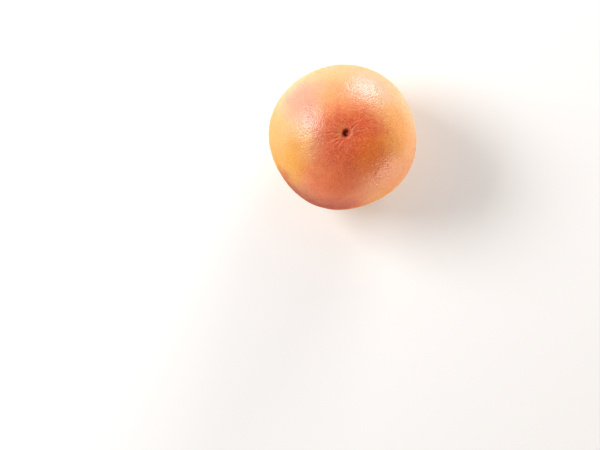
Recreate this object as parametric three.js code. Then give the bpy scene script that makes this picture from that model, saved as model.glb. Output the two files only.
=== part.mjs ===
// A whole grapefruit, picked, standing on a small flat spot with its stem end up.
// The fruit grew as one piece, so it is one closed solid. Millimetres, +Z up, and the origin is the
// middle of the flat spot. Azimuths are in degrees from +X towards +Y.
import * as THREE from 'three';

// The body: a superellipse turned round the Z axis.
const EQUATOR_RADIUS = 55; // mean radius at the widest level
const EQUATOR_HEIGHT = 47; // the widest level lies this far above the surface it stands on
const SHOULDER_HEIGHT = 52; // from the widest level to the top, before the stem basin sinks it
const FULLNESS = 2.15; // 2 is an ellipse, more is a fuller shoulder
const FLAT_RADIUS = 13; // the flat spot that the fruit rests on

// The fruit isn't quite round from above: each lobing swells and shrinks the radius by a share.
const LOBINGS = [
  { count: 2, share: 0.0088, towards: -7.6 },
  { count: 4, share: 0.01, towards: -20 },
  { count: 5, share: 0.0036, towards: 37 },
];
const LEAN = 0.9; // the stem end sits this far off the axis
const LEAN_TOWARDS = 0;

// The stem end: a shallow basin, with a collar round the hole that the stalk left. The collar
// stands highest on one side and fades out on the other.
const BASIN_DEPTH = 1.6;
const BASIN_RADIUS = 8.5;
const COLLAR_HEIGHT = 0.35;
const COLLAR_RADIUS = 4.3;
const COLLAR_WIDTH = 1;
const COLLAR_TOWARDS = -35;
const PIT_DEPTH = 4.2;
const PIT_HALF_WIDTH = 2.9; // the pit is slightly oval
const PIT_HALF_LENGTH = 3.3;
const PIT_TOWARDS = 75;
const PIT_FLOOR_SHARE = 0.3; // the flat floor, as a share of the pit's own radius

// Creases run out from the pit across the basin and fade away.
const CREASE_SPREAD = 0.8; // half the width of a crease
const CREASE_RUN_IN = 2; // over this length a crease reaches its full depth
const CREASES = [
  { towards: 13, start: 6, reach: 17, depth: 0.4 },
  { towards: 39, start: 3.4, reach: 13, depth: 0.5 },
  { towards: 45, start: 12, reach: 20, depth: 0.35 },
  { towards: 84, start: 3.4, reach: 9, depth: 0.3 },
  { towards: 118, start: 3.4, reach: 10, depth: 0.3 },
  { towards: 147, start: 6, reach: 16, depth: 0.35 },
  { towards: 180, start: 4, reach: 18, depth: 0.45 },
  { towards: 207, start: 6, reach: 16, depth: 0.4 },
  { towards: 222, start: 8, reach: 17, depth: 0.45 },
  { towards: 237, start: 5, reach: 15, depth: 0.4 },
  { towards: 270, start: 6, reach: 18, depth: 0.4 },
  { towards: 284, start: 7, reach: 17, depth: 0.3 },
  { towards: 318, start: 3.4, reach: 10, depth: 0.25 },
];

// The blossom end: a small round scar sunk into the flat spot.
const SCAR_RADIUS = 2.4;
const SCAR_DEPTH = 0.5;

// The mesh: rings of points round the axis, close together at the stem end.
const SEGMENTS = 84;
const BODY_RINGS = 27;
const STEM_RINGS = [
  0, 0.9, 1.3, 1.7, 2.1, 2.5, 2.9, 3.3, 3.8, 4.3, 4.9, 5.6, 6.6, 7.8, 9.2, 11, 13.2,
];
const FIRST_BODY_RING = 15.8;
const SCAR_RINGS = [SCAR_RADIUS, 0.6 * SCAR_RADIUS, 0];

const radians = THREE.MathUtils.degToRad;
const smoothstep = THREE.MathUtils.smoothstep;

// The underside is cut by the resting surface where its radius is FLAT_RADIUS.
const baseDepth =
  EQUATOR_HEIGHT / Math.pow(1 - Math.pow(FLAT_RADIUS / EQUATOR_RADIUS, FULLNESS), 1 / FULLNESS);

/** How far the body stands above (or below) its widest level at a radius. */
function bodyHeight(radius, semiAxis) {
  const inward = Math.pow(radius / EQUATOR_RADIUS, FULLNESS);
  return semiAxis * Math.pow(Math.max(0, 1 - inward), 1 / FULLNESS);
}

/** The angle whose point on the superellipse has this radius. */
function angleAtRadius(radius) {
  return Math.acos(Math.pow(radius / EQUATOR_RADIUS, FULLNESS / 2));
}

/** The half outline of the plain body of revolution, from the scar up to the pit's floor. */
function halfOutline() {
  const points = SCAR_RINGS.map((radius) => new THREE.Vector2(radius, 0)).reverse();
  const lowest = -angleAtRadius(FLAT_RADIUS);
  const highest = angleAtRadius(FIRST_BODY_RING);
  for (let ring = 0; ring <= BODY_RINGS; ring += 1) {
    const angle = THREE.MathUtils.lerp(lowest, highest, ring / BODY_RINGS);
    const radius = EQUATOR_RADIUS * Math.pow(Math.cos(angle), 2 / FULLNESS);
    const above = bodyHeight(radius, SHOULDER_HEIGHT);
    const below = -bodyHeight(radius, baseDepth);
    const height = EQUATOR_HEIGHT + (angle > 0 ? above : below);
    points.push(new THREE.Vector2(radius, ring === 0 ? 0 : height));
  }
  for (const radius of STEM_RINGS.toReversed()) {
    points.push(new THREE.Vector2(radius, EQUATOR_HEIGHT + bodyHeight(radius, SHOULDER_HEIGHT)));
  }
  return points;
}

/** The share by which the lobings change the radius at an azimuth. */
function lobing(azimuth) {
  let share = 0;
  for (const lobe of LOBINGS) {
    share += lobe.share * Math.cos(lobe.count * (azimuth - radians(lobe.towards)));
  }
  return share;
}

/** The distance from the pit's middle, in shares of the pit's oval edge. */
function pitShare(x, y) {
  const turn = radians(PIT_TOWARDS);
  const along = x * Math.cos(turn) + y * Math.sin(turn);
  const across = y * Math.cos(turn) - x * Math.sin(turn);
  return Math.hypot(along / PIT_HALF_LENGTH, across / PIT_HALF_WIDTH);
}

/** A crease's section: 1 at its bottom, and below 0 on the low shoulders along it. */
function creaseSection(sideways) {
  const squared = Math.pow(sideways / CREASE_SPREAD, 2);
  return (1 - 2 * squared) * Math.exp(-squared);
}

/** How much the creases lower the stem end at a point. */
function creaseDepth(x, y) {
  let depth = 0;
  for (const crease of CREASES) {
    const turn = radians(crease.towards);
    const along = x * Math.cos(turn) + y * Math.sin(turn);
    const across = y * Math.cos(turn) - x * Math.sin(turn);
    const fade = smoothstep(along, crease.start, crease.start + CREASE_RUN_IN)
      * (1 - smoothstep(along, crease.reach / 2, crease.reach));
    depth += crease.depth * fade * creaseSection(across);
  }
  return depth;
}

/** The basin, collar, pit and creases, as a height added to the body at a point. */
function stemRelief(x, y) {
  const radius = Math.hypot(x, y);
  const basin = BASIN_DEPTH * Math.exp(-Math.pow(radius / BASIN_RADIUS, 2));
  const side = (1 + Math.cos(Math.atan2(y, x) - radians(COLLAR_TOWARDS))) / 2;
  const collar = COLLAR_HEIGHT * side
    * Math.exp(-Math.pow((radius - COLLAR_RADIUS) / COLLAR_WIDTH, 2));
  const pit = PIT_DEPTH * (1 - smoothstep(pitShare(x, y), PIT_FLOOR_SHARE, 1));
  return collar - basin - pit - creaseDepth(x, y);
}

/** Moves one point of the plain body of revolution to its place on the fruit. */
function shapePoint(point) {
  const { x, y, z } = point;
  const radius = Math.hypot(x, y);
  const upward = Math.max(0, z - EQUATOR_HEIGHT) / SHOULDER_HEIGHT;
  const swell = 1 + lobing(Math.atan2(y, x)) * smoothstep(radius, COLLAR_RADIUS, FLAT_RADIUS);
  const lean = LEAN * upward * upward;
  point.x = x * swell + lean * Math.cos(radians(LEAN_TOWARDS));
  point.y = y * swell + lean * Math.sin(radians(LEAN_TOWARDS));
  if (upward > 0) {
    point.z = z + stemRelief(x, y);
  } else if (radius < SCAR_RADIUS) {
    point.z = SCAR_DEPTH * (1 - smoothstep(radius, 0, SCAR_RADIUS));
  }
}

/** The whole fruit as one closed surface. */
function grapefruitGeometry() {
  const geometry = new THREE.LatheGeometry(halfOutline(), SEGMENTS);
  geometry.rotateX(Math.PI / 2);
  const positions = geometry.getAttribute('position');
  const point = new THREE.Vector3();
  for (let index = 0; index < positions.count; index += 1) {
    point.fromBufferAttribute(positions, index);
    shapePoint(point);
    positions.setXYZ(index, point.x, point.y, point.z);
  }
  geometry.computeVertexNormals();
  return geometry;
}

const rind = new THREE.MeshStandardMaterial({ color: 0xe8905a, roughness: 0.42, metalness: 0 });
const grapefruit = new THREE.Mesh(grapefruitGeometry(), rind);
grapefruit.name = 'grapefruit';

const fruit = new THREE.Group();
fruit.add(grapefruit);

export default fruit;
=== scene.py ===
import math

import bmesh
import bpy
import numpy as np
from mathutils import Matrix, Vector
from mathutils.geometry import delaunay_2d_cdt


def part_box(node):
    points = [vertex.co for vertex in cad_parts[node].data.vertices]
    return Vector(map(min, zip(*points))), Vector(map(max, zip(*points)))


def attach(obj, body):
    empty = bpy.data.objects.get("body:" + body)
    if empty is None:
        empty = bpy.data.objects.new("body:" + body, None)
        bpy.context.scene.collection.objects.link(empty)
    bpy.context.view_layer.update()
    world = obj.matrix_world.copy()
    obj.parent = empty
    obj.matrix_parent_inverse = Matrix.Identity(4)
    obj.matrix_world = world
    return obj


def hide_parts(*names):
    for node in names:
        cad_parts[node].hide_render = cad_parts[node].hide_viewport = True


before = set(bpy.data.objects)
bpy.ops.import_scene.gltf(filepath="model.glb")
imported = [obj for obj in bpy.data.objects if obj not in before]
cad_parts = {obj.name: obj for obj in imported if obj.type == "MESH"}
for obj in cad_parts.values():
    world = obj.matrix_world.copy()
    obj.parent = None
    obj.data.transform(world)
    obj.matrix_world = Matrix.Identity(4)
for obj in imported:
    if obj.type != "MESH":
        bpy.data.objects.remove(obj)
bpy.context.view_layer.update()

bl_info = {
    "name": "Grapefruit",
    "version": (1, 0, 0),
    "blender": (4, 5, 0),
    "location": "View3D > Sidebar > Grapefruit",
    "description": "Dresses a whole grapefruit: a pitted, blushed rind on a plain stage",
    "category": "Add Mesh",
}

MM = 0.001
NODE = "grapefruit"
LOW, HIGH = (np.array(corner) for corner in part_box(NODE))

# The form, in millimetres and degrees from +X towards +Y, as the solid has it.
FULLNESS = 2.15  # of the superellipse that is turned into the body: 2 is an ellipse
LOBINGS = (  # swellings seen from above: how many, share of the radius, towards
    (2, 0.0088, -7.6),
    (4, 0.0100, -20.0),
    (5, 0.0036, 37.0),
)
LEAN = 0.9  # the stem end sits this far off the axis
LEAN_TOWARDS = 0.0
COLLAR_RADIUS = 4.3
COLLAR_WIDTH = 1.0
COLLAR_TOWARDS = -35.0  # the side on which the collar stands highest
PIT_AXES = (3.3, 2.9)  # the slightly oval pit: half its length and half its width
PIT_TOWARDS = 75.0
PIT_FLOOR = 0.30  # the flat floor, as a share of the pit's own radius
SCAR_RADIUS = 2.4
CREASE_SPREAD = 0.8  # half the width of a crease
CREASE_RUN_IN = 2.0  # over this length a crease reaches its full depth
CREASE_FADES = 0.5  # it fades out from this share of its reach
CREASE_LENGTH = 5.0  # the creases wander by CREASE_STRAY over this length
CREASE_STRAY = 2.0
CREASES = (  # towards, start and reach from the middle of the stem end, depth
    (13, 6.0, 17, 0.40),
    (39, 3.4, 13, 0.50),
    (45, 12.0, 20, 0.35),
    (84, 3.4, 9, 0.30),
    (118, 3.4, 10, 0.30),
    (147, 6.0, 16, 0.35),
    (180, 4.0, 18, 0.45),
    (207, 6.0, 16, 0.40),
    (222, 8.0, 17, 0.45),
    (237, 5.0, 15, 0.40),
    (270, 6.0, 18, 0.40),
    (284, 7.0, 17, 0.30),
    (318, 3.4, 10, 0.25),
)

# The rind is made of cells, and the larger ones hold a gland each. Both ends have small cells, for
# their fine relief: distance from the middle of the end in mm, and spacing there in mm.
STEM_CELLS = ((0.0, 0.25), (2.0, 0.25), (4.0, 0.40), (7.0, 0.60), (15.0, 0.65))
SCAR_CELLS = ((0.0, 0.34), (2.0, 0.34), (6.0, 0.90))
STEM_REACH, SCAR_REACH = 28.0, 14.0  # the cells have their full size from here on
GOLDEN_ANGLE = math.pi * (3 - math.sqrt(5))
HEXAGON_SHARE = math.sqrt(3) / 2  # of a cell's spacing squared, its area
SOW_STEPS = 20001  # along the outline, over which the cells are counted out
SAME_PLACE = 1e-9  # cells nearer to each other than this would be joined in one
GLAND_CELL = 1.25  # width of a cell that is always large enough for a gland
GLAND_LUCK = (0.35, 1.0)  # the shallowest and the deepest gland that a cell may draw, as shares
GLANDS_FROM = 4.2  # no gland lies nearer than this to the axis
SOFT_EDGE = 0.25  # rounding at the rim of the flat spot
WAVE_LENGTH = 9.0
CREPE_LENGTH = 2.6  # of the finer folds round the stem end
CREPE_REACH = (8 * MM, 26 * MM)  # they fade out between these distances from the axis
CREPE_SHARE = 0.8  # of the waviness
NOISE_SPAN = (0.25, 0.75)  # nearly all the values of a noise lie between these
NOISE_MIDDLE = (0.5, 0.5, 0.5)  # and the three values of its colour lie round this
WAVELESS = (-0.97, -0.85)  # heights on the unit sphere between which the waves fade out
BAKE_MAP = "OFBake"
BAKE_HALF = 0.47  # half the side of a patch in the bake map, as a share of its square

# Patches of colour, painted in this order over the gold: the tone, where the middle lies (azimuth,
# and level from 0 at the widest ring to 90 at the stem), the radius in mm, and the share.
PATCHES = (
    ("amber", -147, 35, 29, 1.00),
    ("amber", -176, 20, 36, 0.70),
    ("apricot", -32, 16, 50, 0.90),
    ("apricot", 94, 34, 47, 0.90),
    ("honey", 0, 50, 32, 0.90),
    ("orange", 85, 85, 40, 0.90),
    ("orange", -60, 64, 42, 0.85),
    ("coral", 40, 88, 30, 1.00),
    ("coral", -160, 78, 24, 0.55),
    ("coral", -100, 68, 30, 0.90),
    ("coral", -4, 74, 24, 0.75),
    ("russet", -40, 56, 25, 0.90),
    ("rosy", -116, 48, 31, 0.95),
    ("brick", -84, 43, 30, 0.85),
    ("brick", -84, 18, 28, 0.70),
    ("blotch", 138, 44, 27, 0.90),
    ("blotch", 158, 58, 18, 0.80),
    ("brick", -98, 24, 34, 0.80),
    ("amber", -56, 12, 24, 0.65),
    # Partly painted shade: this patch also deepens the rind low on one side, where a neighbouring
    # fruit would shade it.
    ("amber", -152, 18, 22, 0.80),
    ("amber", -172, 54, 17, 0.60),
    ("blotch", 64, 48, 20, 0.35),
    # Painted highlight: this paler patch stands in for a small highlight on the lower shoulder.
    ("apricot", -70, 42, 15, 0.45),
    ("orange", 88, 52, 20, 0.45),
    # Partly painted highlight: this pale patch whitens the skin where the upper highlight falls.
    ("pale", 62, 46, 24, 0.55),
    ("amber", -13, 51, 14, 0.50),
    ("orange", -50, 25, 20, 0.50),
    ("coral", -84, 54, 18, 0.30),
    # Painted shade: these three patches darken the rind low on one side, where neighbouring fruits
    # would shade it.
    ("painted_shade", -92, 12, 28, 0.70),
    ("painted_shade", -118, 4, 34, 0.85),
    ("painted_shade", -140, 8, 24, 0.65),
)
PATCH_CORE = 0.15  # the even middle of a patch, as a share of its radius
STRAY_LENGTH = 18.0  # the patches' edges wander by STRAY over this length
STRAY = 20.0
MOTTLE_LENGTH = 4.0
MOTTLE_SPAN = (0.35, 0.65)  # values of its noise, from clear to mottled skin
COARSE_LEVELS = (70 * MM, 97 * MM)  # heights between which the speckle grows coarser
COARSENESS = (0.2, 1.5)  # its strength at those heights, as a share of the ones given below
GOLDEN_GREEN = (0.15, 0.45)  # the share of green light by which blush and gold are told apart
GOLDEN_SPECKLE = 0.5  # how much of the speckle is left on gold
RIDGED = 0.14  # how strongly the skin pales between the fine glands
MOTTLED, OILY, POROUS = 0.14, 0.34, 0.27  # how strongly the speckles deepen the colour
PORE_SPACING = 1.15  # of the fine glands between the large ones
PORE_DEPTH = 0.25  # of the fine glands, which only the gloss shows
PORE_DARK = (0.10, 0.40)  # their colour fades out between these shares of the spacing,
PORE_RIDGE = (0.40, 0.75)  # the paler skin round them sets in between these,
PORE_HOLLOW = (0.05, 0.45)  # and their walls rise between these
DRY_REACH = (8 * MM, 30 * MM)  # the wax comes back between these distances from the dry spot
DRY_TOWARDS, DRY_OFF = -30.0, 9 * MM  # where the dry spot's middle lies, from the pit's
THIN_LEVELS = (54 * MM, 80 * MM)  # heights between which the wax thins out downwards
GLOSS_ROUGHNESS = (0.38, 0.58)  # of waxed skin, and of dry skin
GLOSS_COAT = (0.92, 0.08)  # the weight of the wax there
RUBBED_TOWARDS = -115.0  # the side that was rubbed against its neighbours
RUBBED_SPAN = (0.0, 0.8)  # of the field of that side, from plain to rubbed skin
THINNED, RUBBED = 0.5, 0.9  # how dry the skin is low down, and on the side that was rubbed
PIT_SHADE = (0.45, 1.10)  # the pit's dark floor, partly painted shade, fades out between these shares of its radius
PIT_SHADE_TOWARDS, PIT_SHADE_OFF = -135.0, 1.5 * MM  # where the dark floor's middle lies, from the pit's: set off towards the wall in shade, as painted shade
LIT_WALL_TOWARDS, LIT_WALL_OFF = -20.0, 0.9 * MM  # where the painted light on the pit's lit wall lies, from the pit's middle
LIT_WALL_REACH = (0.3 * MM, 1.4 * MM)  # the painted light fades out between these distances from there
WOODY = (0.95, 1.25)  # the woody wall goes over to skin between these shares
SAP_TOWARDS = 165.0
SAP_RADIUS = 5.4
SAP_WIDTH = 1.3

# The tints of the stem end: where each one begins and is full, and its shares at those two.
CREASE_LIGHT_TINT = (0.05 * MM, 0.35 * MM, 0.0, 0.6)  # by how deep the creases lie: painted light, a tone paler than the blush that lifts the shade in them
SHOULDER_TINT = (-0.02 * MM, -0.15 * MM, 0.0, 0.15)  # by how high the shoulders stand
COLLAR_TINT = (-0.2, 0.8, 0.0, 0.3)  # by the field of the side on which it lies
SAP_TINT = (0.3, 0.9, 0.0, 0.3)
CORKY = (0.6 * SCAR_RADIUS * MM, 1.3 * SCAR_RADIUS * MM)  # the scar's cork fades out between these

# The stage: the camera looks straight down, and the fruit stands off its middle.
SENSOR = 36.0  # width of the camera's sensor
FRAME_WIDTH = 452.9  # of the view at the fruit's widest level
CAMERA_OVER = (-32.2, -66.1)  # the place that lies right below the camera
NEAREST = 10 * MM  # nothing nearer to the camera is shown
LIGHT_DISTANCE = 1.2  # metres from the fruit's middle
LIGHTS = (  # name, azimuth, elevation, width and height in metres, watts, colour
    ("window", 162, 38, 0.66, 0.42, 12.0, "#FFFFFF"),
    ("side", 67, 13, 0.54, 0.44, 9.2, "#FFFFFF"),
    ("reflector", -40, 6, 0.56, 0.12, 5.0, "#FFE6CC"),
)
SKY = "#FFFDFC"
HORIZON, ZENITH = 1.9, 0.55  # shares of the fill light's strength
ZENITH_FROM = 0.75  # height on the unit sphere from which the fill light is as it is overhead
DIM_SIDE, DIM_SHARE = -130.0, 0.5  # where the fill light is weaker, and its share there

# The kinds of node that the trees use most.
MATH = "ShaderNodeMath"
VECTOR = "ShaderNodeVectorMath"
RANGE = "ShaderNodeMapRange"
MIX = "ShaderNodeMix"
SMOOTH = {"interpolation_type": "SMOOTHSTEP"}
LEVEL = (1.0, 1.0, 0.0)  # times a place, its place in plan


def mean_swell():
    """How much the lobings widen the box's four sides, on average."""
    sides = [math.radians(90 * side) for side in range(4)]
    lobed = [
        share * math.cos(count * (side - math.radians(towards)))
        for side in sides
        for count, share, towards in LOBINGS
    ]
    return 1 + sum(lobed) / len(sides)


def linear(code):
    """An sRGB hex colour as linear red, green, blue and alpha."""
    parts = [int(code[place:place + 2], 16) / 255 for place in (1, 3, 5)]
    curved = [
        part / 12.92 if part <= 0.04045 else ((part + 0.055) / 1.055) ** 2.4
        for part in parts
    ]
    return (*curved, 1.0)


def direction(azimuth, elevation=0.0):
    """The unit vector towards an azimuth and an elevation in degrees."""
    turn, rise = math.radians(azimuth), math.radians(elevation)
    flat = math.cos(rise)
    return Vector((flat * math.cos(turn), flat * math.sin(turn), math.sin(rise)))


# ---------------------------------------------------------------- settings


class RindForm(bpy.types.PropertyGroup):
    """Sizes of the fruit's body and of its two ends."""

    equator_radius: bpy.props.FloatProperty(
        name="Equator radius",
        description="Mean radius at the widest level",
        default=float((HIGH - LOW)[:2].mean() / 2 / mean_swell()),
        unit="LENGTH",
    )
    equator_height: bpy.props.FloatProperty(
        name="Equator height",
        description="Height of the widest level above the resting surface",
        default=47 * MM,
        unit="LENGTH",
    )
    shoulder_height: bpy.props.FloatProperty(
        name="Shoulder height",
        description="From the widest level up to the top, before the basin sinks it",
        default=52 * MM,
        unit="LENGTH",
    )
    flat_radius: bpy.props.FloatProperty(
        name="Flat radius",
        description="Radius of the spot that the fruit rests on",
        default=13 * MM,
        unit="LENGTH",
    )
    basin_depth: bpy.props.FloatProperty(
        name="Basin depth",
        description="How far the stem end sinks into the shoulder",
        default=1.6 * MM,
        unit="LENGTH",
    )
    basin_radius: bpy.props.FloatProperty(
        name="Basin radius",
        description="How far the basin reaches from the middle of the stem end",
        default=8.5 * MM,
        unit="LENGTH",
    )
    collar_height: bpy.props.FloatProperty(
        name="Collar height",
        description="Height of the collar round the pit, on its higher side",
        default=0.35 * MM,
        unit="LENGTH",
    )
    pit_depth: bpy.props.FloatProperty(
        name="Pit depth",
        description="Depth of the pit that the stalk left",
        default=4.2 * MM,
        unit="LENGTH",
    )
    scar_depth: bpy.props.FloatProperty(
        name="Scar depth",
        description="Depth of the small scar at the blossom end",
        default=0.5 * MM,
        unit="LENGTH",
    )


class GlandField(bpy.types.PropertyGroup):
    """Oil glands: the fine pits all over the rind."""

    spacing: bpy.props.FloatProperty(
        name="Gland spacing",
        description="Distance between the larger glands round the equator",
        default=2.0 * MM,
        unit="LENGTH",
    )
    scatter: bpy.props.FloatProperty(
        name="Gland scatter",
        description="How far a gland strays from its even place, as a share of the spacing",
        default=0.42,
        subtype="FACTOR",
    )
    depth_share: bpy.props.FloatProperty(
        name="Gland depth",
        description="Depth of the deepest gland, as a share of its own cell's width",
        default=0.17,
        subtype="FACTOR",
    )
    floor_share: bpy.props.FloatProperty(
        name="Gland floor",
        description="Width of a gland's floor, as a share of its own cell's width",
        default=0.42,
        subtype="FACTOR",
    )
    waviness: bpy.props.FloatProperty(
        name="Waviness",
        description="How far the rind swells and sinks between one fold of skin and the next",
        default=0.15 * MM,
        unit="LENGTH",
    )
    seed: bpy.props.IntProperty(
        name="Seed", description="Seed of every random draw", default=7
    )


def swatch(name, description, code):
    """A colour that a user can change, with an sRGB hex colour as its default."""
    return bpy.props.FloatVectorProperty(
        name=name, description=description, default=linear(code), subtype="COLOR", size=4
    )


class RindColours(bpy.types.PropertyGroup):
    """Colours of the rind and of the marks at its two ends."""

    gold: swatch("Gold", "The rind where it has no blush", "#ECBA80")
    amber: swatch("Amber", "Deeper gold, low on one side", "#EA9F28")
    honey: swatch("Honey", "Warm gold beside the blush", "#F4A246")
    apricot: swatch("Apricot", "Faintly blushed gold", "#F4A466")
    orange: swatch("Orange", "Where gold goes over to blush", "#EE8A4A")
    coral: swatch("Coral", "Blush round the stem end", "#D4562F")
    rosy: swatch("Rosy", "Lighter, pinker blush", "#F08050")
    russet: swatch("Russet", "Orange brown beside the blush", "#E4720A")
    brick: swatch("Brick", "Warm red on the shoulder", "#EA7032")
    blotch: swatch("Blotch", "A pale pink blotch high on one side", "#E0947A")
    # Partly painted highlight: laid where the upper highlight falls, to whiten it.
    pale: swatch("Pale", "Skin that has hardly coloured", "#F0AE98")
    # Painted shade, not a colour of the rind: a deep red for the shade low on one side.
    painted_shade: swatch("Cheek", "Deep blush low on one side", "#BC3C08")
    oil: swatch("Oil", "Multiplies the colour where a gland lies", "#D8AC98")
    ridge: swatch("Ridge", "Paler skin between the glands", "#F2A868")
    # Painted light: paler than the blush around it, to lift the shade that falls in the creases.
    painted_crease_light: swatch("Crease", "Bottom of the creases round the stem end", "#DC6C54")
    shoulder: swatch("Shoulder", "Pale rind along the creases", "#EDA27E")
    collar: swatch("Collar", "Pale corky rim of the pit", "#DC9C7A")
    sap: swatch("Sap", "Greenish stain beside the pit", "#B5904A")
    pit: swatch("Pit", "Woody wall of the stalk pit", "#BC5030")
    # Partly painted shade: the pit's floor is darkened most on the side where shade falls.
    pit_floor_shade: swatch("Pit floor", "Dark bottom of the stalk pit", "#8C2A1A")
    # Painted light: a pale tone on the pit's wall on the side where light falls in, also passing
    # for pale wood where the stalk tore off.
    painted_lit_wall: swatch("Torn", "Pale wood where the stalk tore off, on one side of the pit", "#F4A070")
    scar: swatch("Scar", "Corky scar at the blossom end", "#7D5A34")


class Studio(bpy.types.PropertyGroup):
    """The floor, the fill light and the camera."""

    floor_size: bpy.props.FloatProperty(
        name="Floor size", description="Side of the square floor", default=4.0, unit="LENGTH"
    )
    sky_strength: bpy.props.FloatProperty(
        name="Fill light", description="Strength of the even light all round", default=0.645
    )
    camera_distance: bpy.props.FloatProperty(
        name="Camera distance",
        description="Height of the camera above the fruit's widest level",
        default=1.0,
        unit="LENGTH",
    )


# ---------------------------------------------------------------- node trees


def socket(sockets, key):
    """A node's socket by its number, its identifier or its name."""
    if isinstance(key, int):
        return sockets[key]
    for found in sockets:
        if found.identifier == key:
            return found
    return sockets[key]


def add(tree, kind, inputs=(), output=0, **settings):
    """Adds a node with its settings, values and links. Returns an output, or for None the node."""
    node = tree.nodes.new(kind)
    for name, value in settings.items():
        setattr(node, name, value)
    given = inputs.items() if isinstance(inputs, dict) else enumerate(inputs)
    for key, value in given:
        if isinstance(value, bpy.types.NodeSocket):
            tree.links.new(value, socket(node.inputs, key))
        else:
            socket(node.inputs, key).default_value = value
    return node if output is None else socket(node.outputs, output)


def new_tree(name, sizes):
    """A Geometry Nodes tree with a named input for each size, and the sockets that give them."""
    tree = bpy.data.node_groups.new(name, "GeometryNodeTree")
    face = tree.interface
    face.new_socket("Geometry", in_out="OUTPUT", socket_type="NodeSocketGeometry")
    face.new_socket("Geometry", in_out="INPUT", socket_type="NodeSocketGeometry")
    for label, size in sizes.items():
        kind = "NodeSocketInt" if isinstance(size, int) else "NodeSocketFloat"
        face.new_socket(label, in_out="INPUT", socket_type=kind)
    return tree, add(tree, "NodeGroupInput", output=None).outputs


def apply_tree(piece, tree, sizes):
    """Puts a tree on a piece, and sets each size by its socket's identifier."""
    modifier = piece.modifiers.new(tree.name, "NODES")
    modifier.node_group = tree
    for item in tree.interface.items_tree:
        if item.in_out == "INPUT" and item.name in sizes:
            modifier[item.identifier] = sizes[item.name]


def finish_tree(tree, geometry, material):
    """Ends a tree: real geometry, smooth, in its material."""
    real = add(tree, "GeometryNodeRealizeInstances", (geometry,))
    smooth = add(tree, "GeometryNodeSetShadeSmooth", {"Geometry": real})
    dressed = add(tree, "GeometryNodeSetMaterial", {"Geometry": smooth, "Material": material})
    add(tree, "NodeGroupOutput", (dressed,), None)


def bell(tree, distance, width):
    """A bell curve: 1 in the middle and nearly 0 at twice the width."""
    share = add(tree, MATH, (distance, width), operation="DIVIDE")
    squared = add(tree, MATH, (share, share), operation="MULTIPLY")
    negative = add(tree, MATH, (squared, -1.0), operation="MULTIPLY")
    return add(tree, MATH, (negative,), operation="EXPONENT")


def furrow(tree, distance, width):
    """A furrow's section: 1 at its bottom, and below 0 on the low shoulders along it."""
    share = add(tree, MATH, (distance, width), operation="DIVIDE")
    squared = add(tree, MATH, (share, share), operation="MULTIPLY")
    shoulders = add(tree, MATH, (squared, -2.0, 1.0), operation="MULTIPLY_ADD")
    bulge = bell(tree, distance, width)
    return add(tree, MATH, (shoulders, bulge), operation="MULTIPLY")


def swell_field(tree, azimuth, radius, given):
    """The share by which the lobings change the radius, fading out at the stem end."""
    total = 0.0
    for count, share, towards in LOBINGS:
        turned = add(tree, MATH, (azimuth, math.radians(towards)), operation="SUBTRACT")
        times = add(tree, MATH, (turned, count), operation="MULTIPLY")
        wave = add(tree, MATH, (times,), operation="COSINE")
        total = add(tree, MATH, (wave, share, total), operation="MULTIPLY_ADD")
    fade = add(tree, RANGE, (radius, COLLAR_RADIUS * MM, given["Flat radius"]), **SMOOTH)
    return add(tree, MATH, (total, fade, 1.0), operation="MULTIPLY_ADD")


def pit_field(tree, place):
    """The distance from the pit's middle, in shares of its oval edge."""
    turned = add(
        tree,
        "ShaderNodeVectorRotate",
        {"Vector": place, "Angle": -math.radians(PIT_TOWARDS)},
        rotation_type="Z_AXIS",
    )
    length, width = PIT_AXES
    oval = add(tree, VECTOR, (turned, (1 / length, 1 / width, 0.0)), operation="MULTIPLY")
    share = add(tree, VECTOR, (oval,), "Value", operation="LENGTH")
    return add(tree, MATH, (share, MM), operation="DIVIDE")


def side_field(tree, place, towards):
    """1 on the side towards an azimuth, 0 across and -1 on the far side of the axis."""
    flat = add(tree, VECTOR, (place, LEVEL), operation="MULTIPLY")
    outward = add(tree, VECTOR, (flat,), operation="NORMALIZE")
    return add(tree, VECTOR, (outward, direction(towards)), "Value", operation="DOT_PRODUCT")


def crease_field(tree, place):
    """How far the creases that run out from the pit sink the surface."""
    noise = {"Vector": place, "Scale": 1 / (CREASE_LENGTH * MM), "Detail": 1.0}
    wander = add(tree, "ShaderNodeTexNoise", noise, "Color")
    centred = add(tree, VECTOR, (wander, NOISE_MIDDLE), operation="SUBTRACT")
    far = (CREASE_STRAY * MM, CREASE_STRAY * MM, 0.0)
    strayed = add(tree, VECTOR, (centred, far, place), operation="MULTIPLY_ADD")
    total = 0.0
    for towards, start, reach, depth in CREASES:
        turned = add(
            tree,
            "ShaderNodeVectorRotate",
            {"Vector": strayed, "Angle": -math.radians(towards)},
            rotation_type="Z_AXIS",
        )
        along, across, _ = add(tree, "ShaderNodeSeparateXYZ", (turned,), None).outputs
        full = start + CREASE_RUN_IN
        begun = add(tree, RANGE, (along, start * MM, full * MM), **SMOOTH)
        fades = CREASE_FADES * reach
        gone = add(tree, RANGE, (along, fades * MM, reach * MM, 1.0, 0.0), **SMOOTH)
        kept = add(tree, MATH, (begun, gone), operation="MULTIPLY")
        section = furrow(tree, across, CREASE_SPREAD * MM)
        share = add(tree, MATH, (kept, section), operation="MULTIPLY")
        total = add(tree, MATH, (share, depth * MM, total), operation="MULTIPLY_ADD")
    return total


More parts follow.
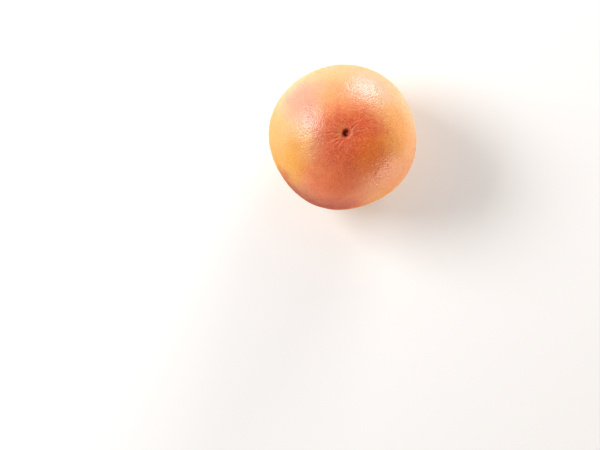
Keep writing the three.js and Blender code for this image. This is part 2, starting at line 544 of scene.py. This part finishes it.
def body_level(tree, z, given):
    """The plain body's height over the widest level: two half superellipses."""
    size = add(tree, MATH, (z,), operation="ABSOLUTE")
    rise = add(tree, MATH, (size, 2 / FULLNESS), operation="POWER")
    sizes = given["Flat radius"], given["Equator radius"]
    cut = add(tree, MATH, sizes, operation="DIVIDE")
    cut_share = add(tree, MATH, (cut, FULLNESS), operation="POWER")
    rest = add(tree, MATH, (1.0, cut_share), operation="SUBTRACT")
    rest_share = add(tree, MATH, (rest, 1 / FULLNESS), operation="POWER")
    depth = add(tree, MATH, (given["Equator height"], rest_share), operation="DIVIDE")
    above = add(tree, MATH, (rise, given["Shoulder height"]), operation="MULTIPLY")
    lowest = add(tree, MATH, (depth, -1.0), operation="MULTIPLY")
    below = add(tree, MATH, (rise, lowest), operation="MULTIPLY")
    upper = add(tree, MATH, (z, 0.0), operation="GREATER_THAN")
    halves = {"Factor_Float": upper, "A_Float": below, "B_Float": above}
    return add(tree, MIX, halves), upper


def stem_relief(tree, place, radius, given):
    """The basin, collar, pit and creases, as a height added to the body."""
    basin = bell(tree, radius, given["Basin radius"])
    sunk = add(tree, MATH, (basin, given["Basin depth"]), operation="MULTIPLY")

    side = side_field(tree, place, COLLAR_TOWARDS)
    standing = add(tree, MATH, (side, 0.5, 0.5), operation="MULTIPLY_ADD")
    from_collar = add(tree, MATH, (radius, COLLAR_RADIUS * MM), operation="SUBTRACT")
    ring = bell(tree, from_collar, COLLAR_WIDTH * MM)
    part_ring = add(tree, MATH, (ring, standing), operation="MULTIPLY")
    collar = add(tree, MATH, (part_ring, given["Collar height"]), operation="MULTIPLY")

    inside = add(tree, RANGE, (pit_field(tree, place), PIT_FLOOR, 1.0, 1.0, 0.0), **SMOOTH)
    sunk = add(tree, MATH, (inside, given["Pit depth"], sunk), operation="MULTIPLY_ADD")
    sunk = add(tree, MATH, (sunk, crease_field(tree, place)), operation="ADD")
    return add(tree, MATH, (collar, sunk), operation="SUBTRACT")


def height_field(tree, place, radius, plain, upper, given):
    """The height: the body, cut by the resting surface, with the relief of its two ends."""
    level = add(tree, MATH, (plain, given["Equator height"]), operation="ADD")
    grounded = add(tree, MATH, (level, 0.0, SOFT_EDGE * MM), operation="SMOOTH_MAX")
    relief = stem_relief(tree, place, radius, given)
    height = add(tree, MATH, (relief, upper, grounded), operation="MULTIPLY_ADD")
    dent = add(tree, RANGE, (radius, 0.0, SCAR_RADIUS * MM, 1.0, 0.0), **SMOOTH)
    scar = add(tree, MATH, (dent, given["Scar depth"]), operation="MULTIPLY")
    lower = add(tree, MATH, (1.0, upper), operation="SUBTRACT")
    return add(tree, MATH, (scar, lower, height), operation="MULTIPLY_ADD")


def plan_field(tree, place, swell, plain, given):
    """The place in plan: lobed, and leaning at the top."""
    lobed = add(tree, VECTOR, {0: place, "Scale": swell}, operation="SCALE")
    over = add(tree, MATH, (plain, 0.0), operation="MAXIMUM")
    up = add(tree, MATH, (over, given["Shoulder height"]), operation="DIVIDE")
    share = add(tree, MATH, (up, up), operation="MULTIPLY")
    offset = direction(LEAN_TOWARDS) * LEAN * MM
    lean = add(tree, VECTOR, {0: offset, "Scale": share}, operation="SCALE")
    return add(tree, VECTOR, (lobed, lean), operation="ADD")


def wave_field(tree, surface, z, radius, upper):
    """Low waves in the skin, but none where it rests, and finer folds round the stem end."""
    waves = {"Vector": surface, "Scale": 1 / (WAVE_LENGTH * MM), "Detail": 1.0}
    noise = add(tree, "ShaderNodeTexNoise", waves)
    wave = add(tree, RANGE, (noise, *NOISE_SPAN, -1.0, 1.0))
    free = add(tree, RANGE, (z, *WAVELESS), **SMOOTH)
    size = add(tree, MATH, (wave, free), operation="MULTIPLY")
    folds = {"Vector": surface, "Scale": 1 / (CREPE_LENGTH * MM), "Detail": 1.0}
    fine_noise = add(tree, "ShaderNodeTexNoise", folds)
    fine = add(tree, RANGE, (fine_noise, *NOISE_SPAN, -1.0, 1.0))
    near = add(tree, RANGE, (radius, *CREPE_REACH, 1.0, 0.0), **SMOOTH)
    crepe = add(tree, MATH, (fine, near), operation="MULTIPLY")
    upper_crepe = add(tree, MATH, (crepe, upper), operation="MULTIPLY")
    return add(tree, MATH, (upper_crepe, CREPE_SHARE, size), operation="MULTIPLY_ADD")


def form_field(tree, given):
    """The fruit's surface over the unit sphere that the cells are sown on, and its radius."""
    sphere = add(tree, "GeometryNodeInputPosition")
    x, y, z = add(tree, "ShaderNodeSeparateXYZ", (sphere,), None).outputs
    flat = add(tree, VECTOR, (sphere, LEVEL), operation="MULTIPLY")
    sideways = add(tree, VECTOR, (flat,), "Value", operation="LENGTH")
    fuller = add(tree, MATH, (sideways, 2 / FULLNESS), operation="POWER")
    radius = add(tree, MATH, (fuller, given["Equator radius"]), operation="MULTIPLY")
    outward = add(tree, VECTOR, (flat,), operation="NORMALIZE")
    place = add(tree, VECTOR, {0: outward, "Scale": radius}, operation="SCALE")

    plain, upper = body_level(tree, z, given)
    height = height_field(tree, place, radius, plain, upper, given)
    azimuth = add(tree, MATH, (y, x), operation="ARCTAN2")
    swell = swell_field(tree, azimuth, radius, given)
    plan = plan_field(tree, place, swell, plain, given)
    lift = add(tree, "ShaderNodeCombineXYZ", {"Z": height})
    surface = add(tree, VECTOR, (plan, lift), operation="ADD")

    size = wave_field(tree, surface, z, radius, upper)
    far = add(tree, MATH, (size, given["Waviness"]), operation="MULTIPLY")
    wavy = add(tree, VECTOR, {0: sphere, "Scale": far}, operation="SCALE")
    return add(tree, VECTOR, (surface, wavy), operation="ADD"), radius


def rind_sizes(form, glands):
    """The named inputs of the rind's tree."""
    return {
        "Equator radius": form.equator_radius,
        "Equator height": form.equator_height,
        "Shoulder height": form.shoulder_height,
        "Flat radius": form.flat_radius,
        "Basin depth": form.basin_depth,
        "Basin radius": form.basin_radius,
        "Collar height": form.collar_height,
        "Pit depth": form.pit_depth,
        "Scar depth": form.scar_depth,
        "Gland depth": glands.depth_share,
        "Gland floor": glands.floor_share,
        "Waviness": glands.waviness,
        "Seed": glands.seed,
    }


def gland_choice(tree, area, given):
    """Which cells hold a gland: a cell does by luck if it is large. Near the pit there is none."""
    fit = add(tree, MATH, (area, (GLAND_CELL * MM) ** 2), operation="DIVIDE")
    chosen = add(
        tree,
        "FunctionNodeRandomValue",
        {"Probability": fit, "Seed": given["Seed"]},
        "Value_003",
        data_type="BOOLEAN",
    )
    from_axis = add(tree, "GeometryNodeInputNamedAttribute", {"Name": "from_axis"})
    clear = add(tree, MATH, (from_axis, GLANDS_FROM * MM), operation="GREATER_THAN")
    return add(tree, MATH, (chosen, clear), operation="MULTIPLY")


def sink_glands(tree, body, given):
    """Each gland sinks in the middle of its cell, to a depth that goes with the cell's width."""
    area = add(tree, "GeometryNodeInputMeshFaceArea")
    width = add(tree, MATH, (area,), operation="SQRT")
    glandular = gland_choice(tree, area, given)
    shallowest, deepest = GLAND_LUCK
    luck = add(
        tree,
        "FunctionNodeRandomValue",
        {"Min_001": shallowest, "Max_001": deepest, "Seed": given["Seed"]},
        "Value_001",
        data_type="FLOAT",
    )
    large = add(tree, MATH, (width, luck), operation="MULTIPLY")
    depth = add(tree, MATH, (large, given["Gland depth"]), operation="MULTIPLY")
    inwards = add(tree, MATH, (depth, -1.0), operation="MULTIPLY")
    sunk = {"Mesh": body, "Selection": glandular, "Offset Scale": inwards, "Individual": True}
    pitted = add(tree, "GeometryNodeExtrudeMesh", sunk, None, mode="FACES").outputs
    floor = pitted["Top"]
    narrow = {"Geometry": pitted["Mesh"], "Selection": floor, "Scale": given["Gland floor"]}
    narrowed = add(tree, "GeometryNodeScaleElements", narrow)
    strength = add(tree, MATH, (floor, luck), operation="MULTIPLY")
    marks = {"Geometry": narrowed, "Name": "gland", "Value": strength}
    return add(tree, "GeometryNodeStoreNamedAttribute", marks)


def rind_tree(material, sizes):
    """Sown places in, rind out: a cell round each place, shaped, and most of them pitted."""
    tree, given = new_tree("Rind", sizes)
    cells = add(tree, "GeometryNodeDualMesh", (given["Geometry"],))
    position = add(tree, "GeometryNodeInputPosition")
    on_sphere = add(tree, VECTOR, (position,), operation="NORMALIZE")
    ball = add(tree, "GeometryNodeSetPosition", {"Geometry": cells, "Position": on_sphere})
    place, radius = form_field(tree, given)
    distance = {"Geometry": ball, "Name": "from_axis", "Value": radius}
    measured = add(tree, "GeometryNodeStoreNamedAttribute", distance)
    body = add(tree, "GeometryNodeSetPosition", {"Geometry": measured, "Position": place})
    finish_tree(tree, sink_glands(tree, body, given), material)
    return tree


# ---------------------------------------------------------------- materials


def on_rind(azimuth, level, form):
    """The place on the plain body at an azimuth and a level."""
    rise = math.radians(level)
    radius = form.equator_radius * math.cos(rise) ** (2 / FULLNESS)
    height = form.shoulder_height * math.sin(rise) ** (2 / FULLNESS)
    return direction(azimuth) * radius + Vector((0, 0, form.equator_height + height))


def new_material(name):
    """An empty node material and its tree."""
    material = bpy.data.materials.new(name)
    material.use_nodes = True
    material.node_tree.nodes.clear()
    return material, material.node_tree


def white_card():
    """Matte white card: no gloss, so that it only takes shade and the fruit's glow."""
    material, tree = new_material("White card")
    finish = {"Base Color": linear("#FAF9F8"), "Roughness": 0.9, "Specular IOR Level": 0.2}
    surface = add(tree, "ShaderNodeBsdfPrincipled", finish)
    add(tree, "ShaderNodeOutputMaterial", {"Surface": surface}, None)
    return material


def blushed(tree, place, colours, form):
    """The rind's ground colour: gold, with every patch of the other tones laid over it."""
    noise = {"Vector": place, "Scale": 1 / (STRAY_LENGTH * MM), "Detail": 3.0, "Roughness": 0.55}
    wander = add(tree, "ShaderNodeTexNoise", noise, "Color")
    centred = add(tree, VECTOR, (wander, NOISE_MIDDLE), operation="SUBTRACT")
    far = (STRAY * MM, STRAY * MM, STRAY * MM)
    strayed = add(tree, VECTOR, (centred, far, place), operation="MULTIPLY_ADD")
    skin = colours.gold
    for tone, azimuth, level, radius, share in PATCHES:
        middle = on_rind(azimuth, level, form)
        away = add(tree, VECTOR, (strayed, middle), "Value", operation="DISTANCE")
        reach = radius * MM
        patch = add(tree, RANGE, (away, PATCH_CORE * reach, reach, share, 0.0), **SMOOTH)
        tones = {"Factor_Float": patch, "A_Color": skin, "B_Color": getattr(colours, tone)}
        skin = add(tree, MIX, tones, "Result_Color", data_type="RGBA")
    return skin


def speckled(tree, place, skin, colours):
    """Mottles the skin, and deepens its colour in each gland, large and fine."""
    noise = {"Vector": place, "Scale": 1 / (MOTTLE_LENGTH * MM), "Detail": 2.0}
    mottle = add(tree, "ShaderNodeTexNoise", noise)
    gland = add(tree, "ShaderNodeAttribute", output="Fac", attribute_name="gland")
    fine = {"Vector": place, "Scale": 1 / (PORE_SPACING * MM)}
    pore = add(tree, "ShaderNodeTexVoronoi", fine, "Distance", feature="F1")
    z = add(tree, "ShaderNodeSeparateXYZ", (place,), "Z")
    coarse = add(tree, RANGE, (z, *COARSE_LEVELS, *COARSENESS), **SMOOTH)
    green = add(tree, "ShaderNodeSeparateColor", (skin,), "Green")
    plain = add(tree, RANGE, (green, *GOLDEN_GREEN, 1.0, GOLDEN_SPECKLE), **SMOOTH)
    coarse = add(tree, MATH, (coarse, plain), operation="MULTIPLY")
    marks = (
        add(tree, RANGE, (mottle, *MOTTLE_SPAN, 0.0, MOTTLED), **SMOOTH),
        add(tree, RANGE, (gland, 0.0, 1.0, 0.0, OILY)),
        add(tree, RANGE, (pore, *PORE_DARK, POROUS, 0.0), **SMOOTH),
    )
    ridge = add(tree, RANGE, (pore, *PORE_RIDGE, 0.0, RIDGED), **SMOOTH)
    shown = add(tree, MATH, (ridge, coarse), operation="MULTIPLY")
    tones = {"Factor_Float": shown, "A_Color": skin, "B_Color": colours.ridge}
    skin = add(tree, MIX, tones, "Result_Color", data_type="RGBA")
    for mark in marks:
        shown = add(tree, MATH, (mark, coarse), operation="MULTIPLY")
        tones = {"Factor_Float": shown, "A_Color": skin, "B_Color": colours.oil}
        skin = add(tree, MIX, tones, "Result_Color", data_type="RGBA", blend_type="MULTIPLY")
    return skin, pore


def collar_and_sap(tree, flat, radius):
    """The shares of the pit's pale corky collar and of the sap stain, each on its own side."""
    shares = []
    for middle, width, towards, tint in (
        (COLLAR_RADIUS, COLLAR_WIDTH, COLLAR_TOWARDS, COLLAR_TINT),
        (SAP_RADIUS, SAP_WIDTH, SAP_TOWARDS, SAP_TINT),
    ):
        side = add(tree, RANGE, (side_field(tree, flat, towards), *tint), **SMOOTH)
        off = add(tree, MATH, (radius, middle * MM), operation="SUBTRACT")
        ring = bell(tree, off, width * MM)
        shares.append(add(tree, MATH, (ring, side), operation="MULTIPLY"))
    return shares


def wood_shares(tree, flat):
    """The shares of the pit's wall, of its dark floor set off into the shade as partly painted
    shade, and of the painted light on its lit wall.
    """
    wall = add(tree, RANGE, (pit_field(tree, flat), *WOODY, 1.0, 0.0), **SMOOTH)
    pit_shade_middle = direction(PIT_SHADE_TOWARDS) * PIT_SHADE_OFF
    from_pit_shade = add(tree, VECTOR, (flat, pit_shade_middle), operation="SUBTRACT")
    deep = add(tree, RANGE, (pit_field(tree, from_pit_shade), *PIT_SHADE, 1.0, 0.0), **SMOOTH)
    painted_lit_wall = direction(LIT_WALL_TOWARDS) * LIT_WALL_OFF
    from_lit_wall = add(tree, VECTOR, (flat, painted_lit_wall), "Value", operation="DISTANCE")
    pale = add(tree, RANGE, (from_lit_wall, *LIT_WALL_REACH, 1.0, 0.0), **SMOOTH)
    return wall, deep, pale


def marked(tree, flat, radius, high, skin, colours):
    """Colours the marks of both ends: creases, collar, sap and pit, and the blossom scar. The
    creases take painted light, the pit painted shade and painted light.
    """
    creases = crease_field(tree, flat)
    collar, sap = collar_and_sap(tree, flat, radius)
    wall, deep, painted_lit_wall = wood_shares(tree, flat)
    low = add(tree, MATH, (1.0, high), operation="SUBTRACT")
    layers = (
        # Painted light in the creases.
        (add(tree, RANGE, (creases, *CREASE_LIGHT_TINT)), high, colours.painted_crease_light),
        (add(tree, RANGE, (creases, *SHOULDER_TINT)), high, colours.shoulder),
        (sap, high, colours.sap),
        (collar, high, colours.collar),
        (wall, high, colours.pit),
        # Painted shade on the pit's floor, and painted light on its lit wall.
        (deep, high, colours.pit_floor_shade),
        (painted_lit_wall, high, colours.painted_lit_wall),
        (add(tree, RANGE, (radius, *CORKY, 1.0, 0.0), **SMOOTH), low, colours.scar),
    )
    for share, half, tone in layers:
        shown = add(tree, MATH, (share, half), operation="MULTIPLY")
        tones = {"Factor_Float": shown, "A_Color": skin, "B_Color": tone}
        skin = add(tree, MIX, tones, "Result_Color", data_type="RGBA")
    return skin


def dryness(tree, flat, z, high):
    """How dry the skin is, from 0 where it is waxed: no wax round the pit, little low down."""
    spot = direction(DRY_TOWARDS) * DRY_OFF
    from_spot = add(tree, VECTOR, (flat, spot), "Value", operation="DISTANCE")
    round_pit = add(tree, RANGE, (from_spot, *DRY_REACH, 1.0, 0.0), **SMOOTH)
    bare = add(tree, MATH, (round_pit, high), operation="MULTIPLY")
    side = side_field(tree, flat, RUBBED_TOWARDS)
    rubbed = add(tree, RANGE, (side, *RUBBED_SPAN, THINNED, RUBBED), **SMOOTH)
    lowness = add(tree, RANGE, (z, *THIN_LEVELS, 1.0, 0.0), **SMOOTH)
    thin = add(tree, MATH, (rubbed, lowness), operation="MULTIPLY")
    return add(tree, MATH, (bare, thin), operation="MAXIMUM")


def both_ends(tree, place, skin, colours, form):
    """Gives the skin the marks of both ends, and says how dry it is."""
    offset = direction(LEAN_TOWARDS) * LEAN * MM
    stem = add(tree, VECTOR, (place, offset), operation="SUBTRACT")
    flat = add(tree, VECTOR, (stem, LEVEL), operation="MULTIPLY")
    radius = add(tree, VECTOR, (flat,), "Value", operation="LENGTH")
    z = add(tree, "ShaderNodeSeparateXYZ", (place,), "Z")
    high = add(tree, MATH, (z, form.equator_height), operation="GREATER_THAN")
    skin = marked(tree, flat, radius, high, skin, colours)
    return skin, dryness(tree, flat, z, high)


def citrus_rind(colours, form):
    """Waxed citrus rind: leathery and slightly translucent, with a soft gloss broken by glands."""
    material, tree = new_material("Waxed citrus rind")
    place = add(tree, "ShaderNodeTexCoord", output="Object")
    skin = blushed(tree, place, colours, form)
    skin, pore = speckled(tree, place, skin, colours)
    skin, dry = both_ends(tree, place, skin, colours, form)
    hollow = add(tree, RANGE, (pore, *PORE_HOLLOW), **SMOOTH)
    bump = {"Strength": 0.4, "Distance": PORE_DEPTH * MM, "Height": hollow}
    bumpy = add(tree, "ShaderNodeBump", bump)
    finish = {
        "Base Color": skin,
        "Roughness": add(tree, RANGE, (dry, 0.0, 1.0, *GLOSS_ROUGHNESS)),
        "IOR": 1.45,
        "Specular IOR Level": 0.3,
        "Normal": bumpy,
        "Subsurface Weight": 0.12,
        "Subsurface Radius": (1.0, 0.4, 0.15),
        "Subsurface Scale": 2 * MM,
        "Coat Weight": add(tree, RANGE, (dry, 0.0, 1.0, *GLOSS_COAT)),
        "Coat Roughness": 0.33,
    }
    surface = add(tree, "ShaderNodeBsdfPrincipled", finish)
    add(tree, "ShaderNodeOutputMaterial", {"Surface": surface}, None)
    return material


# ---------------------------------------------------------------- the rind


def cell_spacing(to_stem, to_scar, full):
    """The spacing of the cells at distances from the two ends, all in mm."""
    at, wide = zip(*STEM_CELLS, (STEM_REACH, full))
    near_stem = np.interp(to_stem, at, wide)
    at, wide = zip(*SCAR_CELLS, (SCAR_REACH, full))
    near_scar = np.interp(to_scar, at, wide)
    return np.minimum(near_stem, near_scar)


def sow_cells(form, glands):
    """Places on the unit sphere for all cells: one golden-angle spiral from end to end."""
    reach = (form.equator_radius + form.shoulder_height) / 2
    polar = np.linspace(0, math.pi, SOW_STEPS)
    radius = form.equator_radius * np.sin(polar) ** (2 / FULLNESS)
    to_stem = np.where(polar < math.pi / 2, radius, reach) / MM
    to_scar = np.where(polar > math.pi / 2, radius, reach) / MM
    spacing = cell_spacing(to_stem, to_scar, glands.spacing / MM)
    height = np.cos(polar) * form.shoulder_height
    step = np.hypot(np.diff(radius), np.diff(height)) / MM
    ring = 2 * math.pi * (radius[1:] + radius[:-1]) / 2 / MM
    crowd = ring * step / (HEXAGON_SHARE * spacing[1:] ** 2)
    sown = np.concatenate([[0], np.cumsum(crowd)])
    number = np.arange(int(sown[-1]))
    down = np.interp(number + 0.5, sown, polar)
    turn = number * GOLDEN_ANGLE
    local = np.interp(down, polar, spacing) * MM / reach
    rng = np.random.default_rng(glands.seed)
    places = np.stack(
        [np.sin(down) * np.cos(turn), np.sin(down) * np.sin(turn), np.cos(down)], 1
    )
    places += rng.uniform(-1, 1, places.shape) * (glands.scatter * local)[:, None]
    return places / np.linalg.norm(places, axis=1)[:, None]


def join_places(places):
    """Joins the places in triangles. Seen from the blossom end, the sphere is a plane."""
    plane = places[:, :2] / (1 + places[:, 2:])
    found = delaunay_2d_cdt([tuple(p) for p in plane.tolist()], [], [], 0, SAME_PLACE)
    faces, origin = found[2:4]
    order = [ids[0] for ids in origin]
    mesh = bpy.data.meshes.new("Cells")
    mesh.from_pydata([places[index] for index in order], [], faces)
    return mesh


def close_sphere(mesh):
    """Closes the small hole round the blossom end's middle, and turns all faces outwards."""
    made = bmesh.new()
    made.from_mesh(mesh)
    rim = [edge for edge in made.edges if edge.is_boundary]
    bmesh.ops.holes_fill(made, edges=rim, sides=0)
    bmesh.ops.recalc_face_normals(made, faces=made.faces)
    made.to_mesh(mesh)
    made.free()


def lay_bake_map(mesh, centre):
    """A UV map in six patches: a cube's sides round the fruit's middle, in a grid of 3 by 2."""
    places = np.empty(len(mesh.vertices) * 3)
    mesh.vertices.foreach_get("co", places)
    places = places.reshape(-1, 3) - centre
    middles = np.empty(len(mesh.polygons) * 3)
    mesh.polygons.foreach_get("center", middles)
    middles = middles.reshape(-1, 3) - centre
    counts = np.empty(len(mesh.polygons), int)
    mesh.polygons.foreach_get("loop_total", counts)
    corners = np.empty(len(mesh.loops), int)
    mesh.loops.foreach_get("vertex_index", corners)

    axis = np.abs(middles).argmax(1)
    side = np.repeat(axis * 2 + (middles[np.arange(len(axis)), axis] > 0), counts)
    facing = side // 2
    at = places[corners]
    row = np.arange(len(at))
    deep = np.abs(at[row, facing])
    across = np.arctan2(at[row, (facing + 1) % 3], deep) * 4 / math.pi
    along = np.arctan2(at[row, (facing + 2) % 3], deep) * 4 / math.pi
    middle = np.stack([side % 3, side // 3], 1) + 0.5
    patch = middle + BAKE_HALF * np.stack([across, along], 1)
    layer = mesh.uv_layers.new(name=BAKE_MAP, do_init=False)
    layer.uv.foreach_set("vector", (patch / (3, 2)).astype(np.float32).ravel())


def made_plain(context, piece, name):
    """The evaluated piece as a plain mesh object of its own; the sown one is removed."""
    shaped = piece.evaluated_get(context.evaluated_depsgraph_get())
    mesh = bpy.data.meshes.new_from_object(shaped)
    piece.modifiers.clear()
    bpy.data.objects.remove(piece)
    plain = bpy.data.objects.new(name, mesh)
    context.scene.collection.objects.link(plain)
    return plain


# ---------------------------------------------------------------- operators


class GRAPEFRUIT_OT_rind(bpy.types.Operator):
    """Make the rind: the fruit's whole surface with its glands, creases, pit and scar"""

    bl_idname = "grapefruit.rind"
    bl_label = "Rind"

    def execute(self, context):
        scene = context.scene
        form, glands = scene.rind_form, scene.gland_field
        mesh = join_places(sow_cells(form, glands))
        close_sphere(mesh)
        sown = bpy.data.objects.new("cells", mesh)
        scene.collection.objects.link(sown)
        sizes = rind_sizes(form, glands)
        material = citrus_rind(scene.rind_colours, form)
        apply_tree(sown, rind_tree(material, sizes), sizes)
        rind = made_plain(context, sown, "rind")
        lay_bake_map(rind.data, (0, 0, form.equator_height))
        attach(rind, "root")
        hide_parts(NODE)
        return {"FINISHED"}


def hang_light(scene, name, azimuth, elevation, width, height, power, colour):
    """An area light that looks at the fruit's middle from a direction."""
    lamp = bpy.data.lights.new(name, "AREA")
    lamp.shape = "RECTANGLE"
    lamp.size = width
    lamp.size_y = height
    lamp.energy = power
    lamp.color = linear(colour)[:3]
    held = bpy.data.objects.new(name, lamp)
    scene.collection.objects.link(held)
    target = Vector((0, 0, scene.rind_form.equator_height))
    towards = direction(azimuth, elevation)
    held.location = target + towards * LIGHT_DISTANCE
    held.rotation_euler = towards.to_track_quat("Z", "Y").to_euler()


def studio_light(studio):
    """The even light all round: brighter low down than overhead, and weaker on one side."""
    world = bpy.data.worlds.new("Studio")
    world.use_nodes = True
    tree = world.node_tree
    tree.nodes.clear()
    ray = add(tree, "ShaderNodeTexCoord", output="Generated")
    z = add(tree, "ShaderNodeSeparateXYZ", (ray,), "Z")
    height = add(tree, RANGE, (z, 0.0, ZENITH_FROM, HORIZON, ZENITH))
    side = add(tree, VECTOR, (ray, direction(DIM_SIDE)), "Value", operation="DOT_PRODUCT")
    kept = add(tree, RANGE, (side, 0.0, 1.0, 1.0, DIM_SHARE), **SMOOTH)
    share = add(tree, MATH, (height, kept), operation="MULTIPLY")
    strength = add(tree, MATH, (share, studio.sky_strength), operation="MULTIPLY")
    sky = add(tree, "ShaderNodeBackground", {"Color": linear(SKY), "Strength": strength})
    add(tree, "ShaderNodeOutputWorld", {"Surface": sky}, None)
    return world


class GRAPEFRUIT_OT_stage(bpy.types.Operator):
    """Make the stage: pale floor, soft studio light and the camera"""

    bl_idname = "grapefruit.stage"
    bl_label = "Stage"

    def execute(self, context):
        scene = context.scene
        studio = scene.studio
        half = studio.floor_size / 2
        mesh = bpy.data.meshes.new("floor")
        corners = [(-half, -half, 0), (half, -half, 0), (half, half, 0), (-half, half, 0)]
        mesh.from_pydata(corners, [], [(0, 1, 2, 3)])
        mesh.materials.append(white_card())
        floor = bpy.data.objects.new("floor", mesh)
        scene.collection.objects.link(floor)

        for light in LIGHTS:
            hang_light(scene, *light)
        scene.world = studio_light(studio)

        lens = bpy.data.cameras.new("Camera")
        lens.sensor_width = SENSOR
        lens.lens = SENSOR * studio.camera_distance / (FRAME_WIDTH * MM)
        lens.clip_start = NEAREST
        camera = bpy.data.objects.new("Camera", lens)
        scene.collection.objects.link(camera)
        level = scene.rind_form.equator_height + studio.camera_distance
        camera.location = (CAMERA_OVER[0] * MM, CAMERA_OVER[1] * MM, level)
        scene.camera = camera
        scene.view_settings.view_transform = "Standard"
        return {"FINISHED"}


class GRAPEFRUIT_PT_sidebar(bpy.types.Panel):
    """Lists the fruit's pieces and their settings in the sidebar"""

    bl_label = "Grapefruit"
    bl_idname = "GRAPEFRUIT_PT_sidebar"
    bl_space_type = "VIEW_3D"
    bl_region_type = "UI"
    bl_category = "Grapefruit"

    def draw(self, context):
        scene = context.scene
        for piece in PIECES:
            self.layout.operator(piece.bl_idname)
        for name, group in SETTINGS.items():
            box = self.layout.box()
            for setting in group.__annotations__:
                box.prop(getattr(scene, name), setting)


PIECES = (GRAPEFRUIT_OT_rind, GRAPEFRUIT_OT_stage)
SETTINGS = {
    "rind_form": RindForm,
    "gland_field": GlandField,
    "rind_colours": RindColours,
    "studio": Studio,
}
CLASSES = (*SETTINGS.values(), *PIECES, GRAPEFRUIT_PT_sidebar)


def register():
    for cls in CLASSES:
        bpy.utils.register_class(cls)
    for name, group in SETTINGS.items():
        setattr(bpy.types.Scene, name, bpy.props.PointerProperty(type=group))


def unregister():
    for name in SETTINGS:
        delattr(bpy.types.Scene, name)
    for cls in reversed(CLASSES):
        bpy.utils.unregister_class(cls)


def main():
    """Makes every piece and the stage."""
    register()
    bpy.ops.grapefruit.rind()
    bpy.ops.grapefruit.stage()


if __name__ == "__main__":
    main()
